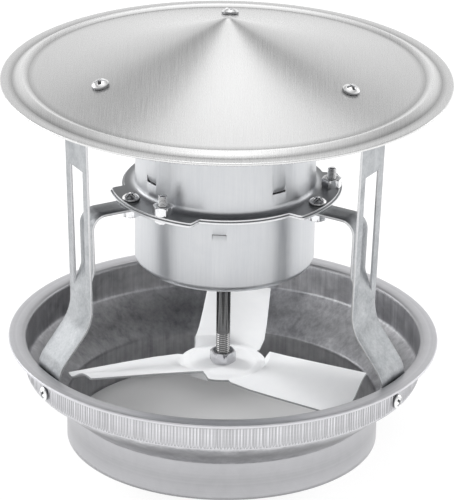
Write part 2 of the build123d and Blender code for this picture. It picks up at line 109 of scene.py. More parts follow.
def spin_line(bm, line, steps, climb=0.0, turns=1, weld=MERGE_DISTANCE):
    """Turn a line of (radius, height) points, in millimetres, about the flue axis; it may climb."""
    verts = [bm.verts.new((p[0] * MM, 0, p[1] * MM)) for p in line]
    edges = [bm.edges.new(pair) for pair in zip(verts, verts[1:])]
    bmesh.ops.spin(
        bm, geom=verts + edges, cent=(0, 0, 0), axis=(0, 0, 1), dvec=(0, 0, climb * MM / steps),
        angle=2 * math.pi * turns, steps=steps * turns, use_merge=climb == 0,
    )
    bmesh.ops.remove_doubles(bm, verts=bm.verts, dist=weld)
    bmesh.ops.recalc_face_normals(bm, faces=bm.faces)


def spread(line, longest):
    """The same line with extra points, so that no stretch is longer than this."""
    dense = [line[0]]
    for start, end in zip(line, line[1:]):
        count = max(1, math.ceil((end - start).length / longest))
        dense += [start.lerp(end, step / count) for step in range(1, count + 1)]
    return dense


def grow(bm, edges):
    """Extrude a row of edges; gives the new points and the new row."""
    grown = bmesh.ops.extrude_edge_only(bm, edges=edges)["geom"]
    verts = [g for g in grown if isinstance(g, bmesh.types.BMVert)]
    made = set(verts)
    row = [g for g in grown if isinstance(g, bmesh.types.BMEdge) and all(v in made for v in g.verts)]
    return verts, row


def azimuth(co):
    """Angle about the flue axis, in degrees from 0 to 360."""
    return math.degrees(math.atan2(co.y, co.x)) % 360


def clamped(value):
    """A value kept between 0 and 1."""
    return min(1.0, max(0.0, value))


def painted_shading_layer(bm):
    """The layer of painted shade on a point: 0 is unshaded, 1 is black, and below 0 is a painted highlight.
    """
    return bm.verts.layers.float.get("painted_shading") or bm.verts.layers.float.new("painted_shading")


def paint_shading_rings(bm, rings):
    """Paint shade, or a highlight where the amount is below 0, on a spun sheet in rings: each has a (radius,
    height) point, a reach and an amount.
    """
    layer = painted_shading_layer(bm)
    for vert in bm.verts:
        here = Vector((vert.co.xy.length, vert.co.z)) / MM
        for place, reach, amount in rings:
            vert[layer] += amount * max(0.0, 1 - (here - Vector(place)).length / reach)


def new_object(name, data):
    """An object with this data, linked to the scene."""
    made = bpy.data.objects.new(name, data)
    bpy.context.scene.collection.objects.link(made)
    return made


def finish_piece(
    name, bm, body, material, stands_for=(), sheet=0.0, edge=0.0, lining=None, cut=None
):
    """Make the object, add the sheet's thickness and soft edges, and tie it to its body."""
    mesh = bpy.data.meshes.new(name)
    bm.to_mesh(mesh)
    bm.free()
    for face in mesh.polygons:
        face.use_smooth = True
    piece = new_object(name, mesh)
    piece.data.materials.append(material)
    if sheet:
        wall = piece.modifiers.new("sheet", "SOLIDIFY")
        wall.thickness = sheet * MM
        wall.offset = 0
        wall.use_even_offset = True
        for finish, setting in ((lining, "material_offset"), (cut, "material_offset_rim")):
            if finish:
                piece.data.materials.append(finish)
                setattr(wall, setting, len(piece.data.materials) - 1)
    if edge:
        soft = piece.modifiers.new("edge", "BEVEL")
        soft.width = edge * MM
        soft.segments = BEVEL_SEGMENTS
        soft.limit_method = "ANGLE"
        soft.angle_limit = BEVEL_ANGLE
    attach(piece, body)
    if stands_for:
        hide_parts(*stands_for)
    print(name, len(mesh.polygons), "faces")
    return piece


# %% [markdown]
# ## Finishes
#
# All the metal here is bare or zinc plated, so the difference between the pieces is how rough they are and
# which way their marks run. Three node groups make those marks. `straight_grain` stretches noise along one
# direction, as a belt grinder does. `turning_rings` makes the fine lines that a lathe leaves. `zinc_bloom`
# makes the cloudy patches of a galvanised sheet. Each gives a mask, and each material sets its own scale
# and strength.

# %% Node groups for metal
def new_node(tree, kind, values=(), operation=None):
    """A shader node; values has pairs of an input's name and its setting."""
    node = tree.nodes.new("ShaderNode" + kind)
    if operation:
        node.operation = operation
    for socket, value in values:
        node.inputs[socket].default_value = value
    return node


def value_group(name, socket, kind, default, build):
    """A shader node group with one input and one mask output."""
    group = bpy.data.node_groups.new(name, "ShaderNodeTree")
    made = group.interface.new_socket(socket, in_out="INPUT", socket_type=kind)
    made.default_value = default
    group.interface.new_socket("Mask", in_out="OUTPUT", socket_type="NodeSocketFloat")
    entry = group.nodes.new("NodeGroupInput")
    leave = group.nodes.new("NodeGroupOutput")
    group.links.new(build(group, entry), leave.inputs["Mask"])
    return group


def build_grain(group, entry):
    """Noise stretched along one direction of the object."""
    place = new_node(group, "TexCoord")
    stretch = new_node(group, "VectorMath", operation="MULTIPLY")
    noise = new_node(group, "TexNoise", [("Scale", 1.0), ("Detail", 4.0), ("Roughness", 0.65)])
    group.links.new(place.outputs["Object"], stretch.inputs[0])
    group.links.new(entry.outputs["Stretch"], stretch.inputs[1])
    group.links.new(stretch.outputs["Vector"], noise.inputs["Vector"])
    return noise.outputs["Fac"]


def build_rings(group, entry):
    """Fine turning lines: noise that depends on the radius and the height only."""
    place = new_node(group, "TexCoord")
    parts = new_node(group, "SeparateXYZ")
    flat = new_node(group, "CombineXYZ")
    reach = new_node(group, "VectorMath", operation="LENGTH")
    line = new_node(group, "CombineXYZ")
    noise = new_node(group, "TexNoise", [("Detail", 5.0), ("Roughness", 0.7)])
    group.links.new(place.outputs["Object"], parts.inputs[0])
    group.links.new(parts.outputs["X"], flat.inputs["X"])
    group.links.new(parts.outputs["Y"], flat.inputs["Y"])
    group.links.new(flat.outputs["Vector"], reach.inputs[0])
    group.links.new(reach.outputs["Value"], line.inputs["X"])
    group.links.new(parts.outputs["Z"], line.inputs["Y"])
    group.links.new(line.outputs["Vector"], noise.inputs["Vector"])
    group.links.new(entry.outputs["Scale"], noise.inputs["Scale"])
    return noise.outputs["Fac"]


def build_bloom(group, entry):
    """Cloudy patches: fine noise that is a little distorted."""
    place = new_node(group, "TexCoord")
    noise = new_node(group, "TexNoise", [("Detail", 6.0), ("Roughness", 0.6), ("Distortion", 0.4)])
    group.links.new(place.outputs["Object"], noise.inputs["Vector"])
    group.links.new(entry.outputs["Scale"], noise.inputs["Scale"])
    return noise.outputs["Fac"]


straight_grain = value_group("straight_grain", "Stretch", "NodeSocketVector", (1000, 10, 10), build_grain)
turning_rings = value_group("turning_rings", "Scale", "NodeSocketFloat", 900.0, build_rings)
zinc_bloom = value_group("zinc_bloom", "Scale", "NodeSocketFloat", 60.0, build_bloom)
print("node groups", straight_grain.name, turning_rings.name, zinc_bloom.name)

# %% Metal materials
MARK_LOW = 0.3
MARK_HIGH = 0.7
METAL_BUMP_DEPTH = 0.05


def new_material(name, values):
    """A material, with its node tree and its shader."""
    material = bpy.data.materials.new(name)
    material.use_nodes = True
    shader = material.node_tree.nodes["Principled BSDF"]
    for socket, value in values:
        shader.inputs[socket].default_value = value
    return material, material.node_tree, shader


def new_mask(tree, group, size):
    """One of the node groups, with its scale or stretch; gives its mask."""
    node = new_node(tree, "Group")
    node.node_tree = group
    node.inputs[0].default_value = size
    return node.outputs["Mask"]


def new_ramp(tree, tones):
    """A colour ramp; tones has pairs of a place on the ramp and its colour."""
    ramp = new_node(tree, "ValToRGB")
    stops = ramp.color_ramp.elements
    stops.remove(stops[1])
    for index, (place, colour) in enumerate(tones):
        stop = stops[0] if index == 0 else stops.new(place)
        stop.position = place
        stop.color = (*colour, 1)
    return ramp


def add_bump(tree, shader, mask, strength, depth):
    """A bump whose height follows a mask; depth is in millimetres."""
    raised = new_node(tree, "Bump", [("Strength", strength), ("Distance", depth * MM)])
    tree.links.new(mask, raised.inputs["Height"])
    tree.links.new(raised.outputs["Normal"], shader.inputs["Normal"])


def new_range(tree, value, start, end, low, high):
    """A value that goes from low to high while another goes from start to end."""
    limits = [("From Min", start), ("From Max", end), ("To Min", low), ("To Max", high)]
    node = new_node(tree, "MapRange", limits)
    tree.links.new(value, node.inputs["Value"])
    return node.outputs["Result"]


def metal(name, dark, light, rough, marks, bump, cloud_scale, cloud=0.5):
    """Bare metal: colour and roughness follow its marks and its clouds, and a bump follows the marks."""
    material, tree, shader = new_material(name, [("Metallic", 1.0)])
    links = tree.links
    mark = new_mask(tree, *marks)
    both = new_node(tree, "Mix", [("Factor", cloud)])
    links.new(mark, both.inputs[2])
    links.new(new_mask(tree, zinc_bloom, cloud_scale), both.inputs[3])
    tone = new_ramp(tree, [(MARK_LOW, dark), (MARK_HIGH, light)])
    links.new(both.outputs[0], tone.inputs["Fac"])
    # Painted shade and highlights: a value on the points darkens the colour, and brightens it where it is
    # below 0.
    painted_shading = new_node(tree, "Attribute")
    painted_shading.attribute_name = "painted_shading"
    unshaded = new_node(tree, "Math", [(0, 1.0)], operation="SUBTRACT")
    shaded_tone = new_node(tree, "VectorMath", operation="SCALE")
    links.new(painted_shading.outputs["Fac"], unshaded.inputs[1])
    links.new(tone.outputs["Color"], shaded_tone.inputs[0])
    links.new(unshaded.outputs["Value"], shaded_tone.inputs["Scale"])
    links.new(shaded_tone.outputs["Vector"], shader.inputs["Base Color"])
    links.new(new_range(tree, both.outputs[0], MARK_LOW, MARK_HIGH, *rough), shader.inputs["Roughness"])
    add_bump(tree, shader, mark, bump, METAL_BUMP_DEPTH)
    return material


cap_finish = metal(
    "brushed_cap", (0.67, 0.67, 0.67), (0.785, 0.785, 0.785), rough=(0.23, 0.31),
    marks=(straight_grain, (2600, 36, 36)), bump=0.1, cloud_scale=18, cloud=0.2,
)
# Painted shade: the cap's underside is a near-black metal, so the pieces under the cap reflect it dark.
underside_shade_finish = metal(
    "underside_shade", (0.11, 0.11, 0.12), (0.18, 0.18, 0.19), rough=(0.42, 0.55),
    marks=(straight_grain, (900, 14, 14)), bump=0.3, cloud_scale=30,
)
pan_finish = metal(
    "spun_zinc", (0.51, 0.51, 0.53), (0.63, 0.63, 0.65), rough=(0.28, 0.42),
    marks=(turning_rings, 700.0), bump=0.25, cloud_scale=160, cloud=0.35,
)
# Painted shade: a darker copy of the pan's zinc, with straight grain, for the pan's inner walls and its
# shoulder.
shaded_pan_finish = metal(
    "shaded_zinc", (0.26, 0.26, 0.275), (0.62, 0.62, 0.635), rough=(0.3, 0.5),
    marks=(straight_grain, (420, 420, 16)), bump=0.3, cloud_scale=110, cloud=0.55,
)
cup_finish = metal(
    "drawn_zinc", (0.585, 0.60, 0.625), (0.715, 0.725, 0.74), rough=(0.31, 0.44),
    marks=(straight_grain, (500, 500, 25)), bump=0.25, cloud_scale=40,
)
leg_finish = metal(
    "galvanised_strip", (0.29, 0.305, 0.32), (0.60, 0.615, 0.63), rough=(0.32, 0.46),
    marks=(zinc_bloom, 700.0), bump=0.3, cloud_scale=90, cloud=0.6,
)
shaft_finish = metal(
    "shaft_steel", (0.11, 0.11, 0.11), (0.21, 0.21, 0.21), rough=(0.08, 0.15),
    marks=(turning_rings, 1500.0), bump=0.2, cloud_scale=80,
)
thread_finish = metal(
    "rolled_thread", (0.45, 0.45, 0.45), (0.65, 0.65, 0.65), rough=(0.12, 0.22),
    marks=(turning_rings, 1500.0), bump=0.2, cloud_scale=80,
)
fastener_finish = metal(
    "plated_fastener", (0.80, 0.81, 0.83), (0.95, 0.95, 0.96), rough=(0.14, 0.24),
    marks=(zinc_bloom, 900.0), bump=0.1, cloud_scale=200,
)
cut_finish = metal(
    "cut_edge", (0.66, 0.67, 0.68), (0.84, 0.84, 0.85), rough=(0.3, 0.45),
    marks=(zinc_bloom, 900.0), bump=0.2, cloud_scale=200,
)
lamination_finish = metal(
    "lamination", (0.16, 0.16, 0.17), (0.34, 0.34, 0.36), rough=(0.4, 0.55),
    marks=(straight_grain, (20, 20, 2600)), bump=0.6, cloud_scale=60,
)
cage_finish = metal(
    "cast_cage", (0.5, 0.5, 0.52), (0.7, 0.7, 0.72), rough=(0.4, 0.6),
    marks=(zinc_bloom, 500.0), bump=0.4, cloud_scale=120,
)
bearing_finish = metal(
    "bearing_steel", (0.5, 0.5, 0.52), (0.7, 0.7, 0.72), rough=(0.12, 0.2),
    marks=(turning_rings, 1200.0), bump=0.1, cloud_scale=90,
)
print(len(bpy.data.materials), "materials so far")

# %% Paint, varnish and rubber
COAT_BUMP_DEPTH = 0.1


def coated(name, dark, light, rough, scale, bump, coat=0.0):
    """A non-metal finish with faint clouds in its colour and an uneven surface."""
    material, tree, shader = new_material(name, [("Roughness", rough), ("Coat Weight", coat)])
    clouds = new_mask(tree, zinc_bloom, scale)
    tone = new_ramp(tree, [(0.0, dark), (1.0, light)])
    tree.links.new(clouds, tone.inputs["Fac"])
    tree.links.new(tone.outputs["Color"], shader.inputs["Base Color"])
    add_bump(tree, shader, clouds, bump, COAT_BUMP_DEPTH)
    return material


fan_finish = coated(
    "white_enamel", (0.88, 0.89, 0.91), (0.95, 0.955, 0.96),
    rough=0.38, scale=120, bump=0.1, coat=0.3,
)
# Painted shade: the fan's cut edges are dark grey, as their thickness in shadow.
fan_edge_shade_finish = coated(
    "fan_edge_shade", (0.36, 0.37, 0.38), (0.50, 0.51, 0.52), rough=0.4, scale=300, bump=0.1
)
winding_finish = coated(
    "enamelled_copper", (0.30, 0.09, 0.03), (0.55, 0.22, 0.08),
    rough=0.3, scale=500, bump=0.8, coat=0.5,
)
rubber_finish = coated(
    "grommet_rubber", (0.015, 0.015, 0.016), (0.035, 0.035, 0.036), rough=0.7, scale=700, bump=0.5
)
print(len(bpy.data.materials), "materials so far")

# %% [markdown]
# ## The rain cap
#
# On the real cap a flat disc is spun over a cone-shaped former, so its section is a single line: a rounded
# tip, a cone that hangs a little hollow, a raised bead that stiffens it, and a hem. Spinning that line and
# thickening it gives the same sheet. The grain runs straight across the blank, because it was brushed
# before it was spun.

# %% Spin the rain cap
CAP_SHEET = 0.8
CAP_RADIUS = 125.0
CAP_RIM_HEIGHT = 214.9
CAP_RIM_WIDTH = 6.9
CAP_HEM = 0.5
CAP_HEM_RETURN = 2.0
BEAD_WIDTH = 8.7
BEAD_RISE = 2.7
BEAD_LEAD = 3.5
BEAD_CREST_RUN = 3.6
CONE_FOOT_RISE = 2.2
CONE_RISE = 32.5
CONE_SAG = 2.8
TIP_HALF_WIDTH = 2.5
TIP_SEGMENTS = 4
CONE_STATIONS = 20
CAP_BENDS = [0.8, 2.0, 0.8]
CAP_HEM_SEGMENTS = 8
CAP_STRETCH = 4.0
CAP_STEPS = 256

bead_outer = CAP_RADIUS - CAP_RIM_WIDTH
bead_inner = bead_outer - BEAD_WIDTH
cone_foot = CAP_RIM_HEIGHT + CONE_FOOT_RISE
cone_top = cone_foot + CONE_RISE
cone_end = bead_inner - BEAD_LEAD
cone_run = cone_end - TIP_HALF_WIDTH
cone_chord = math.hypot(cone_run, CONE_RISE)
chord_slope = math.atan2(CONE_RISE, cone_run)
half_turn = 2 * math.atan(2 * CONE_SAG / cone_chord)
top_slope = chord_slope + half_turn
cone_arc = cone_chord / (2 * math.sin(half_turn))
arc_radius = TIP_HALF_WIDTH + cone_arc * math.sin(top_slope)
arc_height = cone_top + cone_arc * math.cos(top_slope)


def cone_height(radius):
    """Height of the middle of the cone's sheet."""
    return arc_height - math.sqrt(cone_arc ** 2 - (arc_radius - radius) ** 2)


def cone_slope(radius):
    """How far the cone falls away from level, in radians."""
    across = arc_radius - radius
    return math.atan2(across, math.sqrt(cone_arc ** 2 - across ** 2))


tip_rise = TIP_HALF_WIDTH * math.tan(top_slope / 2)
tip_arc = TIP_HALF_WIDTH / math.sin(top_slope)
cap_line = [Vector((0, cone_top + tip_rise))]
cap_line += arc((0, cone_top + tip_rise - tip_arc), tip_arc, 90, -math.degrees(top_slope), TIP_SEGMENTS)
for step in range(1, CONE_STATIONS):
    radius = TIP_HALF_WIDTH + cone_run * step / CONE_STATIONS
    cap_line.append(Vector((radius, cone_height(radius))))
cap_edge = CAP_RADIUS - CAP_SHEET / 2 - CAP_HEM
bead_foot = (bead_inner, cone_foot - BEAD_LEAD * math.tan(chord_slope - half_turn))
bead_crest = (bead_inner + BEAD_CREST_RUN, CAP_RIM_HEIGHT + BEAD_RISE)
bead_end = (bead_outer, CAP_RIM_HEIGHT)
cap_line += rounded(
    [(cone_end, cone_foot), bead_foot, bead_crest, bead_end, (cap_edge, CAP_RIM_HEIGHT)], CAP_BENDS
)
cap_line += hem(cap_edge, CAP_RIM_HEIGHT, CAP_HEM, CAP_HEM_RETURN, CAP_HEM_SEGMENTS)
bm = bmesh.new()
spin_line(bm, spread(cap_line, CAP_STRETCH), CAP_STEPS)
# Painted shade in the bead's inner and outer creases, and painted highlights on its crest and on the hem.
paint_shading_rings(bm, [
    (bead_foot, 1.0, 0.35),
    (bead_crest, 4.0, -0.3),
    (bead_end, 1.1, 0.45),
    ((CAP_RADIUS, CAP_RIM_HEIGHT), 1.2, -0.35),
])
finish_piece(
    "rain_cap_sheet", bm, "frame", cap_finish, ["rain_cap"], sheet=CAP_SHEET,
    lining=underside_shade_finish,
)

# %% [markdown]
# ## The base pan
#
# The pan is spun too: a collar for the flue, a sloping shoulder, an upright band and a flat rim with a hem.
# The band is then crimped. The crimps are uneven, so each rib gets its own depth, place and painted shine
# from a seeded draw, and its valleys are painted with shade.

# %% Spin the pan
PAN_SHEET = 0.8
COLLAR_RADIUS = 88.0
COLLAR_HEIGHT = 22.5
BAND_RADIUS = 111.7
SHOULDER_TOP = 42.0
RIM_HEIGHT = 61.2
RIM_RADIUS = 121.1
RIM_HEM = 0.6
RIM_HEM_RETURN = 2.5
RIM_HEM_SEGMENTS = 6
PAN_BENDS = [3.0, 3.5, 2.0]
PAN_STRETCH = 3.0
WALL_SHEEN = 0.65
SHEEN_START = 15.0
PAN_STEPS = 256

collar_middle = COLLAR_RADIUS - PAN_SHEET / 2
band_middle = BAND_RADIUS - PAN_SHEET / 2
rim_edge = RIM_RADIUS - PAN_SHEET / 2 - RIM_HEM
rim_middle = RIM_HEIGHT - PAN_SHEET / 2
pan_line = rounded(
    [
        (collar_middle, 0),
        (collar_middle, COLLAR_HEIGHT),
        (band_middle, SHOULDER_TOP),
        (band_middle, rim_middle),
        (rim_edge, rim_middle),
    ],
    PAN_BENDS,
)
pan_line += hem(rim_edge, rim_middle, RIM_HEM, RIM_HEM_RETURN, RIM_HEM_SEGMENTS)
bm = bmesh.new()
spin_line(bm, spread(pan_line, PAN_STRETCH), PAN_STEPS)
# Painted highlights on the hem, the rim's flat and the ridge at the shoulder's top; painted shade in the
# bend under the rim and on the shoulder; the collar a little darker.
paint_shading_rings(bm, [
    ((RIM_RADIUS, rim_middle), 1.8, -0.35),
    ((BAND_RADIUS, rim_middle), 2.5, 0.3),
    ((BAND_RADIUS, SHOULDER_TOP), 3.5, -0.3),
    ((RIM_RADIUS - 4, rim_middle), 6.0, -0.25),
    ((COLLAR_RADIUS + 11, COLLAR_HEIGHT + 9), 13.0, 0.4),
    ((COLLAR_RADIUS, COLLAR_HEIGHT / 2), 18.0, 0.2),
])
# Painted sheen: the walls are brightened towards the back right, as a painted reflection.
shading = painted_shading_layer(bm)
for vert in bm.verts:
    turn = azimuth(vert.co) - SHEEN_START
    if 0 < turn < 90 and COLLAR_HEIGHT < vert.co.z / MM < rim_middle - 2 * RIM_HEM:
        vert[shading] -= WALL_SHEEN * math.sin(math.radians(2 * turn))
# Finishes 0, 1 and 2 are for the walls, the rim and the shoulder; 3, 4 and 5 are for the sheet's other side.
# The darker zinc on one side of the walls and on both sides of the shoulder is painted shade.
for face in bm.faces:
    centre = face.calc_center_median()
    if centre.xy.length > BAND_RADIUS * MM:
        face.material_index = 1
    elif COLLAR_HEIGHT < centre.z / MM < SHOULDER_TOP:
        face.material_index = 2
base_pan = finish_piece(
    "base_pan_sheet", bm, "frame", shaded_pan_finish, ["base_pan"], sheet=PAN_SHEET
)
for zone in (pan_finish, shaded_pan_finish, pan_finish, pan_finish, shaded_pan_finish):
    base_pan.data.materials.append(zone)
base_pan.modifiers["sheet"].material_offset = 3

# %% Crimp the band
RIB_COUNT = 390
RIB_STEPS = 4
RIB_DEPTH = 0.7
RIB_SINK = 0.15
RIB_PROFILE = [0.0, 0.75, 1.0, 0.75]
RIB_VALLEY_SHADE = 0.8
RIB_CREST_HIGHLIGHT = 0.55
RIB_LEAST_DEPTH = 0.7
RIB_SHIFT = 0.4
VALLEY_SHINE = 0.6
VALLEY_POWER = 1.5
# Each level has its height, how far the ribs stand out there and how bright they are painted; the top
# levels are painted dark, as shade under the rim.
RIB_LEVELS = [
    (42.6, 0.0, 0.5), (44.4, 0.8, 0.85), (49.0, 1.0, 1.0),
    (54.6, 1.0, 1.0), (55.5, 0.5, 0.2), (57.8, 0.0, 0.0),
]


def by_turn(verts):
    """The points of a ring, numbered in their order round the flue axis."""
    return {vert: index for index, vert in enumerate(sorted(verts, key=lambda v: azimuth(v.co)))}


draw = random.Random(7)
rib_depths = [draw.uniform(RIB_LEAST_DEPTH, 1.0) for _ in range(RIB_COUNT)]
rib_shifts = [draw.uniform(-RIB_SHIFT, RIB_SHIFT) for _ in range(RIB_COUNT)]
rib_valleys = [draw.uniform(0.0, VALLEY_SHINE) ** VALLEY_POWER for _ in range(RIB_COUNT)]
bm = bmesh.new()
rib_shading = painted_shading_layer(bm)
bmesh.ops.create_circle(bm, cap_ends=False, radius=BAND_RADIUS * MM, segments=RIB_COUNT * RIB_STEPS)
edges = list(bm.edges)
levels = [by_turn(bm.verts)]
for _ in RIB_LEVELS[1:]:
    new_verts, edges = grow(bm, edges)
    levels.append(by_turn(new_verts))
for (height, strength, tone), level in zip(RIB_LEVELS, levels):
    for vert, index in level.items():
        rib, place = divmod(index, RIB_STEPS)
        out = BAND_RADIUS - RIB_SINK + RIB_DEPTH * strength * rib_depths[rib] * RIB_PROFILE[place]
        turn = (index + (rib_shifts[rib] if place else 0)) * 2 * math.pi / (RIB_COUNT * RIB_STEPS)
        vert.co = Vector((out * math.cos(turn), out * math.sin(turn), height)) * MM
        # Painted shade in each valley and a painted highlight on each crest.
        shine = tone * (RIB_PROFILE[place] * rib_depths[rib] if place else rib_valleys[rib])
        vert[rib_shading] = RIB_VALLEY_SHADE - (RIB_VALLEY_SHADE + RIB_CREST_HIGHLIGHT) * shine
bmesh.ops.recalc_face_normals(bm, faces=bm.faces)
finish_piece("band_ribs", bm, "frame", pan_finish)

# %% [markdown]
# ## The folded legs
#
# A leg starts as a flat strip. A slot is lanced in it and the tongue from the slot is bent inwards to carry
# the motor. A grid is that flat strip: its rows follow the side view of the folds and its columns line up
# with the slot, so the slot is only a few faces to delete, and the tongue is a second, narrower grid on the
# slot's lower edge.

# %% Fold the legs
LEG_SHEET = 1.5
LEG_WIDTH = 25.0
LEG_TOP_RADIUS = 94.4
LEG_WAIST_RADIUS = 90.0
LEG_WAIST_HEIGHT = 90.0
LEG_KNEE_HEIGHT = 64.2
LEG_FOOT_BOTTOM = 43.0
LEG_TAB_LENGTH = 26.0
LEG_BENDS = [3.0, 0, 0, 25.0, 15.0]
LEG_EDGE = 0.25
SLOT_WIDTH = 14.8
SLOT_BOTTOM = 106.5
SLOT_TOP = 179.0
TONGUE_OFFSET = 4.7
TONGUE_JOGGLE = 12.0
TONGUE_END = 53.6
TONGUE_HEIGHT = 150.75
TONGUE_SHADE = 0.3
TONGUE_BENDS = [9.0, 8.0]
FOLD_SEGMENTS = 10
WELD_GAP = 0.01
CAP_SEAT_GAP = 0.45
CAP_SCREW_RADIUS = 78.0
FOOT_GAP = 0.1

screw_tilt = cone_slope(CAP_SCREW_RADIUS)
tab_drop = CAP_SHEET / 2 + CAP_SEAT_GAP + LEG_SHEET / 2
tab_anchor = Vector((
    CAP_SCREW_RADIUS - tab_drop * math.sin(screw_tilt),
    cone_height(CAP_SCREW_RADIUS) - tab_drop * math.cos(screw_tilt),
))
foot_radius = math.sqrt((BAND_RADIUS - PAN_SHEET) ** 2 - (LEG_WIDTH / 2) ** 2) - FOOT_GAP - LEG_SHEET / 2
waist = Vector((LEG_WAIST_RADIUS - LEG_SHEET / 2, LEG_WAIST_HEIGHT))
top_radius = LEG_TOP_RADIUS - LEG_SHEET / 2


def on_tab(radius):
    """Middle line of the tab under the cone."""
    return Vector((radius, tab_anchor.y - (radius - tab_anchor.x) * math.tan(screw_tilt)))


def on_strip(height):
    """Middle line of the leaning strip."""
    top = on_tab(top_radius)
    share = (height - waist.y) / (top.y - waist.y)
    return Vector((waist.x + share * (top.x - waist.x), height))


leg_line = rounded(
    [
        on_tab(top_radius - LEG_TAB_LENGTH),
        on_tab(top_radius),
        on_strip(SLOT_TOP),
        on_strip(SLOT_BOTTOM),
        waist,
        (foot_radius, LEG_KNEE_HEIGHT),
        (foot_radius, LEG_FOOT_BOTTOM),
    ],
    LEG_BENDS,
    FOLD_SEGMENTS,
)
tongue_line = rounded(
    [
        on_strip(SLOT_BOTTOM),
        on_strip(SLOT_BOTTOM + TONGUE_JOGGLE) - Vector((TONGUE_OFFSET, 0)),
        on_strip(TONGUE_HEIGHT) - Vector((TONGUE_OFFSET, 0)),
        (TONGUE_END, TONGUE_HEIGHT),
    ],
    TONGUE_BENDS,
    FOLD_SEGMENTS,
)


def strip_grid(bm, line, columns):
    """A grid whose rows follow a side view and whose columns are distances across the strip."""
    made = bmesh.ops.create_grid(bm, x_segments=len(columns) - 1, y_segments=len(line) - 1, size=1)["verts"]
    made.sort(key=lambda v: (round(v.co.y, 6), round(v.co.x, 6)))
    for index, vert in enumerate(made):
        row, column = divmod(index, len(columns))
        vert.co = Vector((line[row][0], columns[column], line[row][1])) * MM
    return made


slot_half = SLOT_WIDTH / 2
leg_columns = [-LEG_WIDTH / 2, -slot_half, -slot_half / 3, slot_half / 3, slot_half, LEG_WIDTH / 2]
for name, angle in LEG_ANGLES.items():
    bm = bmesh.new()
    tongue_shading = painted_shading_layer(bm)
    strip_grid(bm, leg_line, leg_columns)
    inside_slot = []
    for face in bm.faces:
        centre = face.calc_center_median() / MM
        between = SLOT_BOTTOM < centre.z < SLOT_TOP
        if between and abs(centre.y) < slot_half and centre.x > CAP_SCREW_RADIUS:
            inside_slot.append(face)
    bmesh.ops.delete(bm, geom=inside_slot, context="FACES")
    # Painted shade on the tongue's inner end, which lies under the cap.
    for vert in strip_grid(bm, tongue_line, leg_columns[1:-1]):
        if vert.co.x < (LEG_WAIST_RADIUS - 2 * TONGUE_OFFSET) * MM:
            vert[tongue_shading] = TONGUE_SHADE
    bmesh.ops.remove_doubles(bm, verts=bm.verts, dist=WELD_GAP * MM)
    bmesh.ops.recalc_face_normals(bm, faces=bm.faces)
    bmesh.ops.rotate(bm, verts=bm.verts, cent=(0, 0, 0), matrix=Matrix.Rotation(math.radians(angle), 3, "Z"))
    finish_piece(
        f"{name}_strip", bm, "frame", leg_finish, [name], sheet=LEG_SHEET, edge=LEG_EDGE,
        cut=cut_finish,
    )

# %% [markdown]
# ## The motor cups
#
# Each cup is drawn from sheet: a bearing pocket, a flat end, a wall and a flange. After the spin the
# flange's outer edge is pulled out to make the three ears, and four windows are opened in the wall. A tab
# grows from the far edge of each window and leans inwards, so only a thin slit stays open, where the tab's
# end holds the motor's core.

# %% Draw the cups
CUP_SHEET = 1.2
CUP_RADIUS = 50.3
CUP_DEPTH = 45.5
SEAM_HEIGHT = 152.7
FLANGE_RADIUS = 57.5
EAR_RADIUS = 65.0
EAR_SPAN = 67.0
EAR_EASE = 3.0
BOLT_STEP = 26.0
STATOR_TOP = 163.2
STATOR_BOTTOM = 143.2
TAB_WIDTH = 8.6
TAB_REACH = 0.8
TAB_HEIGHT = 4.2
TAB_SLIT = 0.7
TAB_TURN = 90
UPPER_TAB_ANGLE = 37.0
LOWER_TAB_ANGLE = 87.5
POCKET_RADIUS = 11.65
POCKET_DEPTH = 7.6
POCKET_HOLE = 7.0
CUP_STEPS = 360
CUP_BENDS = [1.5, 1.5, 4.0, 0, 0, 4.0, 0, 0]
CUP_EDGE = 0.2
FLANGE_RING = 56.0
FLANGE_SHADE = 0.5
FLANGE_BEND = 4.0
FLANGE_LIP = 0.4
UPPER_FLANGE_INSET = 1.0
LIP_HIGHLIGHT = 0.15

cup_wall = CUP_RADIUS - CUP_SHEET / 2


def ear_reach(angle):
    """Outer radius of the flange at this angle: three ears with eased ends."""
    reach = FLANGE_RADIUS
    for leg_angle in LEG_ANGLES.values():
        away = abs((angle - leg_angle - BOLT_STEP / 2 + 180) % 360 - 180)
        ease = clamped((EAR_SPAN / 2 - away) / EAR_EASE)
        reach = max(reach, FLANGE_RADIUS + (EAR_RADIUS - FLANGE_RADIUS) * math.sin(ease * math.pi / 2))
    return reach


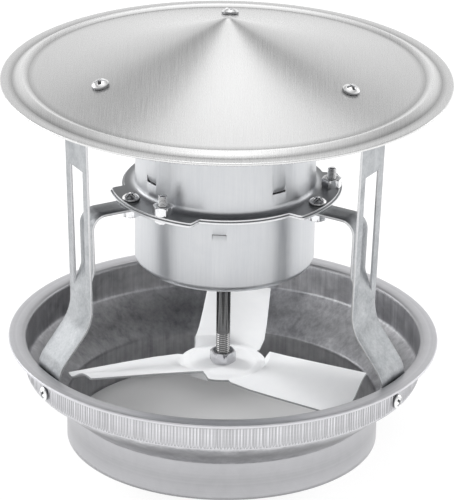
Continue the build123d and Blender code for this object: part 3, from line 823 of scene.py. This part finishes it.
def draw_cup(name, side, tab_angle, node, open_end):
    """One cup: side is +1 for the upper and -1 for the lower."""
    flange = SEAM_HEIGHT + side * CUP_SHEET / 2
    end = SEAM_HEIGHT + side * (CUP_DEPTH - CUP_SHEET / 2)
    pocket = end + side * POCKET_DEPTH
    inset = UPPER_FLANGE_INSET if side > 0 else 0
    tab_face = STATOR_TOP if side > 0 else STATOR_BOTTOM
    near = tab_face + side * CUP_SHEET / 2
    far = near + side * TAB_HEIGHT
    line = rounded(
        [
            (POCKET_HOLE if open_end else 0, pocket),
            (POCKET_RADIUS, pocket),
            (POCKET_RADIUS, end),
            (cup_wall, end),
            (cup_wall, far),
            (cup_wall, near),
            (cup_wall, flange),
            (FLANGE_RING, flange),
            (FLANGE_RADIUS - FLANGE_LIP, flange),
            (FLANGE_RADIUS, flange),
        ],
        CUP_BENDS,
    )
    bm = bmesh.new()
    spin_line(bm, line, CUP_STEPS)
    # Painted shade on the flange, darker outwards from the wall, and a painted highlight on its outer lip.
    shading = painted_shading_layer(bm)
    for vert in bm.verts:
        out = vert.co.xy.length / MM
        vert[shading] = FLANGE_SHADE * clamped((out - CUP_RADIUS) / FLANGE_BEND)
        if out > FLANGE_RADIUS - FLANGE_LIP / 2:
            vert[shading] = -LIP_HIGHLIGHT
        if out > FLANGE_RADIUS - 1.5 * FLANGE_LIP:
            vert.co.xy *= (ear_reach(azimuth(vert.co)) - inset) / FLANGE_RADIUS
    slits = []
    for face in bm.faces:
        centre = face.calc_center_median()
        away = abs((azimuth(centre) - tab_angle + TAB_TURN / 2) % TAB_TURN - TAB_TURN / 2)
        on_wall = abs(centre.xy.length / MM - cup_wall) < CUP_SHEET / 2
        between = min(near, far) < centre.z / MM < max(near, far)
        if on_wall and between and math.radians(away) * cup_wall < TAB_WIDTH / 2:
            slits.append(face)
    lips = [
        edge for face in slits for edge in face.edges
        if all(abs(v.co.z / MM - far) < WELD_GAP for v in edge.verts)
    ]
    bmesh.ops.delete(bm, geom=slits, context="FACES")
    tab_ends, _ = grow(bm, [edge for edge in lips if edge.is_valid])
    for vert in tab_ends:
        vert.co.xy *= (cup_wall - TAB_REACH) / cup_wall
        vert.co.z = (near + side * TAB_SLIT) * MM
    bmesh.ops.recalc_face_normals(bm, faces=bm.faces)
    finish_piece(
        name, bm, "frame", cup_finish, [node], sheet=CUP_SHEET, edge=CUP_EDGE, cut=cut_finish
    )


draw_cup("upper_cup_shell", 1, UPPER_TAB_ANGLE, "upper_motor_cup", False)
draw_cup("lower_cup_shell", -1, LOWER_TAB_ANGLE, "lower_motor_cup", True)

# %% [markdown]
# ## The shaft and its thread
#
# The shaft is a turned bar, and its lower end is threaded for the fan's nuts. A thread is one tooth spun
# round the axis while it climbs, which is what the spin operator does when it is also given a step along
# the axis.

# %% Turn the shaft and cut its thread
SHAFT_RADIUS = 4.0
SHAFT_BOTTOM = 33.0
SHAFT_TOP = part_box("motor_shaft")[1].z / MM
SEAT_RADIUS = 5.0
SEAT_BOTTOM = 107.9
SEAT_TOP = 197.6
THREAD_TOP = 61.5
THREAD_PITCH = 1.25
THREAD_ROOT = 3.2
THREAD_SHADE = 0.85
THREAD_LEAD = 0.4
THREAD_WELD = 0.0005
CORE_PLAY = 0.05
CORE_CHAMFER = 0.15
SHAFT_CHAMFER = 0.6
RUN_OUT_RISE = 0.2
RUN_OUT_DEPTH = 0.3
SHAFT_EDGE = 0.12
SHAFT_STEPS = 48
TURN_STEPS = 32


def thread_tooth(bm, crest, root, pitch, bottom, top):
    """One tooth spun up the axis from bottom to top, in millimetres; its points are shares of the pitch."""
    turns = int((top - bottom) / pitch)
    tooth = [(root, 0.0), (root, 0.12), (crest, 0.45), (crest, 0.6), (root, 0.95), (root, 1.0)]
    line = [(radius, bottom + share * pitch) for radius, share in tooth]
    spin_line(bm, line, TURN_STEPS, pitch, turns, THREAD_WELD * MM)
    # Painted shade in the thread's roots and a painted highlight on its crests.
    shading = painted_shading_layer(bm)
    for vert in bm.verts:
        deep = vert.co.xy.length / MM < (crest + root) / 2
        vert[shading] = THREAD_SHADE if deep else -THREAD_SHADE / 3


core_radius = THREAD_ROOT - CORE_PLAY
shaft_line = [
    (0, SHAFT_BOTTOM),
    (core_radius - CORE_CHAMFER, SHAFT_BOTTOM),
    (core_radius, SHAFT_BOTTOM + SHAFT_CHAMFER),
    (core_radius, THREAD_TOP - RUN_OUT_RISE),
    (SHAFT_RADIUS - RUN_OUT_DEPTH, THREAD_TOP),
    (SHAFT_RADIUS, THREAD_TOP + SHAFT_CHAMFER),
    (SHAFT_RADIUS, SEAT_BOTTOM),
    (SEAT_RADIUS, SEAT_BOTTOM),
    (SEAT_RADIUS, SEAT_TOP),
    (SHAFT_RADIUS, SEAT_TOP),
    (SHAFT_RADIUS, SHAFT_TOP),
    (0, SHAFT_TOP),
]
bm = bmesh.new()
spin_line(bm, shaft_line, SHAFT_STEPS)
finish_piece("shaft_bar", bm, "fan", shaft_finish, ["motor_shaft"], edge=SHAFT_EDGE)
bm = bmesh.new()
thread_tooth(bm, SHAFT_RADIUS, THREAD_ROOT, THREAD_PITCH, SHAFT_BOTTOM + THREAD_LEAD, THREAD_TOP)
finish_piece("shaft_thread", bm, "fan", thread_finish)

# %% [markdown]
# ## The fan
#
# The fan is one pressing: a round hub with a raised middle and three blades that twist as they leave it.
# The hub is spun, then the stretches of its rim that carry a blade are extruded outwards, one station at a
# time. A thin pressing is never bent quite evenly, so each blade has its own small bend and its own cut at
# the tip.

# %% Press the fan
FAN_SHEET = 1.2
FAN_EDGE = 0.15
FAN_RADIUS = 88.6
FAN_PHASE = 86.0
HUB_RADIUS = 24.5
HUB_HEIGHT = 42.6
HUB_RISE = 0.8
HUB_LAND = 19.0
HUB_STEP = 3.0
HUB_BORE = 4.3
HUB_BENDS = [2.4, 2.4]
HUB_STEPS = 120
BLADE_HALF_ANGLE = 47.0
BLADE_CAMBER = 0.8
BLADE_WAVE = 1.8
BLADE_SHIFT = -2.3
SHIFT_RUN = 10
FULL_PITCH = 18
SHARE_LIMIT = 1.02
NECK_RADIUS = 33.0
TIP_LIFT = 0.65
# Each station has its radius, the blade's width and its pitch in degrees.
BLADE_STATIONS = [
    (25.6, 36.6, 4.5), (27.2, 38.0, 8.5), (NECK_RADIUS, 38.6, 10.0),
    (50.0, 38.1, 12.5), (68.0, 37.5, 15.0), (FAN_RADIUS, 37.0, 17.8),
]
# Each blade's tip is bent up by a height and cut with a slant.
TIP_BENDS = [(6.5, 0.08), (0.0, 0.0), (0.0, 0.19)]


def blade_share(co, blade_angle):
    """Place across a blade, from -1 to 1, by the angle from its middle."""
    return ((azimuth(co) - blade_angle + 180) % 360 - 180) / BLADE_HALF_ANGLE


bm = bmesh.new()
hub_line = rounded(
    [
        (HUB_BORE, HUB_HEIGHT + HUB_RISE),
        (HUB_LAND, HUB_HEIGHT + HUB_RISE),
        (HUB_LAND + HUB_STEP, HUB_HEIGHT),
        (HUB_RADIUS, HUB_HEIGHT),
    ],
    HUB_BENDS,
)
spin_line(bm, hub_line, HUB_STEPS)
hub_rim = [e for e in bm.edges if all(abs(v.co.xy.length / MM - HUB_RADIUS) < WELD_GAP for v in e.verts)]
for blade, (bend, slant) in enumerate(TIP_BENDS):
    blade_angle = FAN_PHASE + blade * 360 / len(TIP_BENDS)
    out = Vector((math.cos(math.radians(blade_angle)), math.sin(math.radians(blade_angle)), 0))
    along = Vector((-out.y, out.x, 0))
    edges = [e for e in hub_rim if all(abs(blade_share(v.co, blade_angle)) < SHARE_LIMIT for v in e.verts)]
    places = {v: blade_share(v.co, blade_angle) for e in edges for v in e.verts}
    for radius, chord, pitch in BLADE_STATIONS:
        new_verts, edges = grow(bm, edges)
        placed = {}
        for vert in new_verts:
            source = min(places, key=lambda old: (old.co - vert.co).length)
            placed[vert] = places[source]
        lean = math.radians(pitch)
        shift = BLADE_SHIFT * min(1.0, (radius - HUB_RADIUS) / SHIFT_RUN)
        on_circle = radius < NECK_RADIUS or radius == FAN_RADIUS
        outwards = max(0.0, (radius - NECK_RADIUS) / (FAN_RADIUS - NECK_RADIUS))
        for vert, share in placed.items():
            reach = share * chord / 2
            side = shift + reach * math.cos(lean)
            run = math.sqrt(radius ** 2 - side ** 2) if on_circle else radius
            run += slant * outwards ** 2 * (chord / 2 - reach)
            rise = HUB_HEIGHT + (chord / 2 + reach) * math.sin(lean)
            rise += BLADE_CAMBER * (1 - share ** 2) * pitch / FULL_PITCH
            rise += (TIP_LIFT + bend + BLADE_WAVE * math.sin(math.pi * share)) * outwards
            vert.co = (out * run + along * side + Vector((0, 0, rise))) * MM
        places = placed
bmesh.ops.recalc_face_normals(bm, faces=bm.faces)
finish_piece(
    "fan_pressing", bm, "fan", fan_finish, ["fan_blade"], sheet=FAN_SHEET, edge=FAN_EDGE,
    cut=fan_edge_shade_finish,
)

# %% [markdown]
# ## Screws, studs and nuts
#
# A pan head is a low dome with a cross recess. The dome is a fine spun cap, and the recess is pressed into
# it by lowering the points that lie inside a cross with tapered arms. A nut is a spun ring pulled out to a
# hexagon, with its corners cut by a cone, as on the real one.

# %% Fastener shapes
# A head has its diameter, its height and the height of its edge.
LARGE_HEAD = (9.8, 3.7, 1.3)
SMALL_HEAD = (8.0, 2.6, 0.8)
HEAD_STEPS = 72
HEAD_RINGS = 26
HEAD_CHAMFER = 0.15
DOME_SHARE = 0.97
# The recess is in shares of the head's radius and height, and its slopes in shares of an arm's own size.
RECESS_ARM = 0.68
RECESS_HALF = 0.15
RECESS_DEPTH = 0.6
RECESS_MOUTH = 1.4
RECESS_SIDE = 0.6
RECESS_END = 0.3
HEAD_EDGE_SHADE = 0.65
HEAD_HIGHLIGHT = 0.2
RECESS_SHADE = 0.95
NUT_INNER_SHADE = 0.5
NUT_STEPS = 72
NUT_CHAMFER = 0.3
NUT_SHOULDER = 0.6
# Rings of a nut in shares of its corner radius, then where the cone starts to cut and how steeply.
NUT_LAND = 0.9
NUT_INSIDE = 0.85
NUT_OUTSIDE = 0.95
NUT_CONE_START = 0.98
NUT_CONE_SLOPE = 0.58
STUD_ROOT = 0.5
STUD_CORE = 0.55
STUD_CHAMFER = 0.4
STUD_STEPS = 24


def add_pan_head(bm, head, place):
    """A domed head with a cross recess, standing on the plane that place describes."""
    diameter, height, edge = head
    radius = diameter / 2
    dome = (radius ** 2 + (height - edge) ** 2) / (2 * (height - edge))
    part = bmesh.new()
    line = [(0, height)]
    for step in range(1, HEAD_RINGS + 1):
        reach = radius * DOME_SHARE * step / HEAD_RINGS
        line.append((reach, height - dome + math.sqrt(dome ** 2 - reach ** 2)))
    line += [(radius, edge), (radius, HEAD_CHAMFER), (radius - HEAD_CHAMFER, 0), (0, 0)]
    spin_line(part, line, HEAD_STEPS)
    arm = radius * RECESS_ARM
    half = radius * RECESS_HALF
    deep = height * RECESS_DEPTH
    # Painted shade on the head's edge and in its recess, and a painted highlight on the rest of the dome.
    shading = painted_shading_layer(part)
    for vert in part.verts:
        x, y, z = vert.co / MM
        if z < edge:
            vert[shading] = HEAD_EDGE_SHADE
            continue
        press = 0.0
        for a, b in ((x, y), (y, x)):
            across = clamped((half * RECESS_MOUTH - abs(b)) / (half * RECESS_SIDE))
            lengthwise = clamped((arm - abs(a)) / (arm * RECESS_END))
            press = max(press, across * lengthwise)
        vert.co.z -= deep * press * MM
        vert[shading] = RECESS_SHADE * press - HEAD_HIGHLIGHT * (1 - press)
    move_into(bm, part, place)


def add_nut(bm, flats, height, bore, place):
    """A hexagon nut with coned corners, standing on the plane that place describes."""
    part = bmesh.new()
    corner = flats / 2 / math.cos(math.pi / 6)
    mid = (bore + flats / 2) / 2
    land = corner * NUT_LAND
    mouth = bore + NUT_CHAMFER
    line = [(bore, NUT_CHAMFER), (mouth, 0), (mid, 0), (land, 0), (corner, NUT_SHOULDER)]
    line += [(corner, height - NUT_SHOULDER), (land, height), (mid, height), (mouth, height)]
    line += [(bore, height - NUT_CHAMFER), (bore, NUT_CHAMFER)]
    spin_line(part, line, NUT_STEPS)
    # Painted shade in the nut's bore and on the inner part of its faces.
    shading = painted_shading_layer(part)
    for vert in part.verts:
        out = vert.co.xy.length / MM
        if out < corner * NUT_INSIDE:
            vert[shading] = NUT_INNER_SHADE
            continue
        sector = (azimuth(vert.co) % 60) - 30
        hexagon = flats / 2 / math.cos(math.radians(sector))
        reach = min(out, hexagon) if out < corner * NUT_OUTSIDE else hexagon
        if out > corner * NUT_OUTSIDE:
            cut = NUT_CONE_SLOPE * max(0.0, hexagon - flats / 2 * NUT_CONE_START)
            top = vert.co.z > height / 2 * MM
            vert.co.z = (height - cut if top else cut) * MM
        vert.co.xy *= reach / out
    move_into(bm, part, place)


def add_stud(bm, radius, bottom, top, pitch, place):
    """A threaded length with a plain core, along the plane's normal."""
    part = bmesh.new()
    neck = top - STUD_CHAMFER
    thread_tooth(part, radius, radius - STUD_ROOT * pitch, pitch, bottom, neck)
    core = radius - STUD_CORE * pitch
    line = [(0, bottom), (core, bottom), (core, neck), (core - STUD_CHAMFER, top), (0, top)]
    spin_line(part, line, STUD_STEPS)
    move_into(bm, part, place)


def move_into(bm, part, place):
    """Put one small shape in its place in the shared mesh."""
    bmesh.ops.transform(part, matrix=place, verts=part.verts)
    painted_shading_layer(bm)
    mesh = bpy.data.meshes.new("part")
    part.to_mesh(mesh)
    part.free()
    bm.from_mesh(mesh)
    bpy.data.meshes.remove(mesh)


def seat(radius, angle, height, tilt):
    """Where a fastener sits: its axis leans outwards by tilt degrees from straight up."""
    turn = Matrix.Rotation(math.radians(angle), 4, "Z")
    lean = Matrix.Rotation(math.radians(tilt), 4, "Y")
    move = Matrix.Translation(Vector((radius, 0, height)) * MM)
    return turn @ move @ lean


def lift(distance):
    """A move along the fastener's own axis, in millimetres."""
    return Matrix.Translation((0, 0, distance * MM))


def spun(angle):
    """A turn about the fastener's own axis, in degrees."""
    return Matrix.Rotation(math.radians(angle), 4, "Z")


# %% Fit the fasteners
LARGE_THREAD = 5.0
SMALL_THREAD = 4.0
BOLT_RADIUS = 59.2
NUT_FLATS = 10.0
NUT_HEIGHT = 5.0
NUT_EDGE = 0.1
STUD_STANDING = 6.0
BOLT_HEAD_FLATS = 8.0
BOLT_HEAD_HEIGHT = 2.4
BOLT_SPINS = {"leg_back": 10, "leg_left": -7, "leg_right": 15}
SMALL_FLATS = 7.0
SMALL_NUT_HEIGHT = 3.2
BASE_SCREW_HEIGHT = 47.5
SEAT_GAP = 0.1
THREAD_TAIL = 1.5
THREAD_PLAY = 0.05
SPIN_RANGE = 90
LARGE_PITCH = 0.8
SMALL_PITCH = 0.7
LARGE_SIZE = (LARGE_HEAD, LARGE_THREAD, LARGE_PITCH, NUT_FLATS, NUT_HEIGHT)
SMALL_SIZE = (SMALL_HEAD, SMALL_THREAD, SMALL_PITCH, SMALL_FLATS, SMALL_NUT_HEIGHT)

draw = random.Random(21)
flange_top = SEAM_HEIGHT + CUP_SHEET
flange_bottom = SEAM_HEIGHT - CUP_SHEET
cap_seat = CAP_SHEET / 2 + SEAT_GAP
cap_grip = cap_seat + tab_drop + LEG_SHEET / 2
flange_grip = 2 * CUP_SHEET + LEG_SHEET
base_seat = BAND_RADIUS + RIB_DEPTH + SEAT_GAP
base_grip = base_seat - (foot_radius + LEG_SHEET / 2) + LEG_SHEET


def around(radius, height, tilt, raised=0.0):
    """One seat at each leg, a little raised along the fastener's axis."""
    return [seat(radius, angle, height, tilt) @ lift(raised) for angle in LEG_ANGLES.values()]


def finish_set(name, bm, edge=0.0):
    """Like fasteners as one piece, which stands for the node of that name."""
    finish_piece(f"{name}_set", bm, "frame", fastener_finish, [f"{name}s"], edge=edge)


def fasten(screw_name, nut_name, places, grip, size):
    """Screws in these places, with nuts on the far side of what they grip."""
    head, thread, pitch, flats, nut_height = size
    screws = bmesh.new()
    nuts = bmesh.new()
    for place in places:
        place = place @ spun(draw.uniform(0, SPIN_RANGE))
        add_pan_head(screws, head, place)
        add_stud(screws, thread / 2, -grip - nut_height - THREAD_TAIL, 0, pitch, place)
        add_nut(nuts, flats, nut_height, thread / 2 + THREAD_PLAY, place @ lift(-grip - nut_height))
    finish_set(screw_name, screws)
    finish_set(nut_name, nuts, NUT_EDGE)


cap_places = around(CAP_SCREW_RADIUS, cone_height(CAP_SCREW_RADIUS), math.degrees(screw_tilt), cap_seat)
fasten("cap_screw", "cap_nut", cap_places, cap_grip, LARGE_SIZE)
fasten("flange_screw", "flange_screw_nut", around(BOLT_RADIUS, flange_top, 0), flange_grip, LARGE_SIZE)
fasten("base_screw", "base_nut", around(base_seat, BASE_SCREW_HEIGHT, 90), base_grip, SMALL_SIZE)

bolts = bmesh.new()
bolt_nuts = bmesh.new()
bolt_radius = LARGE_THREAD / 2
bolt_top = 2 * CUP_SHEET + NUT_HEIGHT + STUD_STANDING
for name, angle in LEG_ANGLES.items():
    place = seat(BOLT_RADIUS, angle + BOLT_STEP, flange_bottom, 0) @ spun(BOLT_SPINS[name])
    head_place = place @ lift(-BOLT_HEAD_HEIGHT)
    add_nut(bolts, BOLT_HEAD_FLATS, BOLT_HEAD_HEIGHT, bolt_radius - LARGE_PITCH, head_place)
    add_stud(bolts, bolt_radius, -BOLT_HEAD_HEIGHT, bolt_top, LARGE_PITCH, place)
    add_nut(bolt_nuts, NUT_FLATS, NUT_HEIGHT, bolt_radius + THREAD_PLAY, place @ lift(2 * CUP_SHEET))
finish_set("flange_bolt", bolts)
finish_set("flange_bolt_nut", bolt_nuts, NUT_EDGE)

# %% Nuts on the shaft
FAN_NUT_FLATS = 13.0
FAN_NUT_HEIGHT = 6.5
FAN_NUT_SPIN = 49
FAN_NUT_EDGE = 0.15
fan_land = HUB_HEIGHT + HUB_RISE
for name, node, bottom in (
    ("shaft_nut_upper", "fan_nut_upper", fan_land + FAN_SHEET / 2),
    ("shaft_nut_lower", "fan_nut_lower", fan_land - FAN_SHEET / 2 - FAN_NUT_HEIGHT),
):
    bm = bmesh.new()
    add_nut(bm, FAN_NUT_FLATS, FAN_NUT_HEIGHT, SHAFT_RADIUS + THREAD_PLAY, lift(bottom) @ spun(FAN_NUT_SPIN))
    finish_piece(name, bm, "fan", bearing_finish, [node], edge=FAN_NUT_EDGE)

# %% [markdown]
# ## Pieces that stay as the CAD made them
#
# The motor's works sit inside the cups, and only a glimpse shows through the slits and from below. Their
# shapes are already right, so they only take a finish.

# %% Finishes for the inner pieces
inner_finishes = {
    "stator_core": lamination_finish,
    "rotor_core": lamination_finish,
    "rotor_cage": cage_finish,
    "stator_windings": winding_finish,
    "cable_grommet": rubber_finish,
}
for end in ("upper", "lower"):
    for ring in ("outer", "inner"):
        inner_finishes[f"{end}_bearing_{ring}_ring"] = bearing_finish
for node, material in inner_finishes.items():
    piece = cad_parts[node]
    piece.data.materials.clear()
    piece.data.materials.append(material)
print("finished", len(inner_finishes), "inner pieces")

# %% [markdown]
# ## Floor, light and camera
#
# The picture is high key: a white floor, a soft light overhead, and a sky with a darker belt that gives the
# metal something to reflect. Three fill lights only light, and four cards show only in reflections. The
# camera is a long lens that looks down by about 23 degrees.

# %% Floor and sky
FLOOR_SIZE = 6
FLOOR_ROUGHNESS = 0.9
FLOOR_DARK_RADIUS = 0.0872
FLOOR_LIGHT_RADIUS = 0.0878
FLOOR_INNER_TONE = 0.85
FLOOR_OUTER_TONE = 0.25
FLOOR_GLOW = 0.8
SKY_TONES = [(0.0, 0.95), (0.34, 0.82), (0.46, 0.78), (0.58, 0.45), (0.7, 0.45), (0.86, 0.75), (1.0, 1.0)]

bm = bmesh.new()
bmesh.ops.create_grid(bm, x_segments=1, y_segments=1, size=FLOOR_SIZE)
floor_mesh = bpy.data.meshes.new("floor")
bm.to_mesh(floor_mesh)
bm.free()
floor = new_object("floor", floor_mesh)
floor_paint, tree, paint = new_material("pale_floor", [
    ("Roughness", FLOOR_ROUGHNESS), ("Specular IOR Level", 0.0), ("Emission Color", (1, 1, 1, 1))
])
place = new_node(tree, "TexCoord")
reach = new_node(tree, "VectorMath", operation="LENGTH")
tree.links.new(place.outputs["Object"], reach.inputs[0])
for socket, low, high in (
    ("Emission Strength", 0.0, FLOOR_GLOW),
    ("Base Color", FLOOR_INNER_TONE, FLOOR_OUTER_TONE),
):
    floor_value = new_range(tree, reach.outputs["Value"], FLOOR_DARK_RADIUS, FLOOR_LIGHT_RADIUS, low, high)
    tree.links.new(floor_value, paint.inputs[socket])
floor.data.materials.append(floor_paint)

world = bpy.data.worlds.new("studio")
bpy.context.scene.world = world
world.use_nodes = True
tree = world.node_tree
view = new_node(tree, "TexCoord")
height = new_node(tree, "SeparateXYZ")
sky = new_ramp(tree, [(height_share, (tone, tone, tone)) for height_share, tone in SKY_TONES])
tree.links.new(view.outputs["Generated"], height.inputs[0])
tree.links.new(height.outputs["Z"], sky.inputs["Fac"])
tree.links.new(sky.outputs["Color"], tree.nodes["Background"].inputs["Color"])
bpy.context.scene.view_settings.view_transform = "Standard"
print("floor and sky made")

# %% Lights
TOP_AIM = (0, 0, 0.2)
FILL_AIM = (0, 0, 0.06)
FILL_SIZE = (0.6, 0.6)
CARD_AIM = (0, 0, 0.08)
CARD_SIZE = (0.5, 0.5)
# Each light has its place, the point it faces, its size, its power and the rays that do not see it.
LIGHTS = {
    "overhead": ((0.05, 1.0, 1.5), TOP_AIM, (0.62, 0.8), 1.08, None),
    "front": ((-0.3, -1.9, 1.0), FILL_AIM, FILL_SIZE, 9, "glossy"),
    "left": ((-1.5, 0.9, 0.95), FILL_AIM, FILL_SIZE, 25, "glossy"),
    "right": ((1.5, 0.9, 0.95), FILL_AIM, FILL_SIZE, 20, "glossy"),
    "front_card": ((0, -0.1, 1.5), TOP_AIM, (0.6, 0.4), 1.2, "diffuse"),
    "left_card": ((-1.5, 0.9, 0.7), CARD_AIM, CARD_SIZE, 2, "diffuse"),
    "right_card": ((1.5, 0.9, 0.7), CARD_AIM, CARD_SIZE, 1, "diffuse"),
    "pan_card": ((-1.5, 0.1, 0.8), CARD_AIM, CARD_SIZE, 1.2, "diffuse"),
}
for name, (place, aim, size, power, unseen_by) in LIGHTS.items():
    lamp = bpy.data.lights.new(name, "AREA")
    lamp.shape = "RECTANGLE"
    lamp.size, lamp.size_y = size
    lamp.energy = power
    holder = new_object(name, lamp)
    holder.location = place
    holder.rotation_euler = (Vector(aim) - Vector(place)).to_track_quat("-Z", "Y").to_euler()
    if unseen_by:
        setattr(holder, f"visible_{unseen_by}", False)
    print("light", name, power, "W")

# %% Camera
CAMERA_DISTANCE = 2.3
CAMERA_ELEVATION = math.radians(23.1)
CAMERA_AZIMUTH = math.radians(0.9)
CAMERA_ROLL = math.radians(0.87)
CAMERA_TARGET = Vector((0, 0, 0.125))
FOCAL_PIXELS = 4117
IMAGE_HEIGHT = 500
SENSOR_WIDTH = 36
CLIP_END = 100
TARGET_LEFT = 2.8
TARGET_UP = 21.3

lens = bpy.data.cameras.new("camera")
lens.sensor_width = SENSOR_WIDTH
lens.lens = FOCAL_PIXELS * SENSOR_WIDTH / IMAGE_HEIGHT
lens.shift_x = TARGET_LEFT / IMAGE_HEIGHT
lens.shift_y = -TARGET_UP / IMAGE_HEIGHT
lens.clip_end = CLIP_END
camera = new_object("camera", lens)
pose = Matrix.Translation(CAMERA_TARGET)
pose @= Matrix.Rotation(CAMERA_AZIMUTH, 4, "Z")
pose @= Matrix.Rotation(math.pi / 2 - CAMERA_ELEVATION, 4, "X")
pose @= Matrix.Rotation(CAMERA_ROLL, 4, "Z")
camera.matrix_world = pose @ Matrix.Translation((0, 0, CAMERA_DISTANCE))
bpy.context.scene.camera = camera
print("camera lens", lens.lens, "mm")
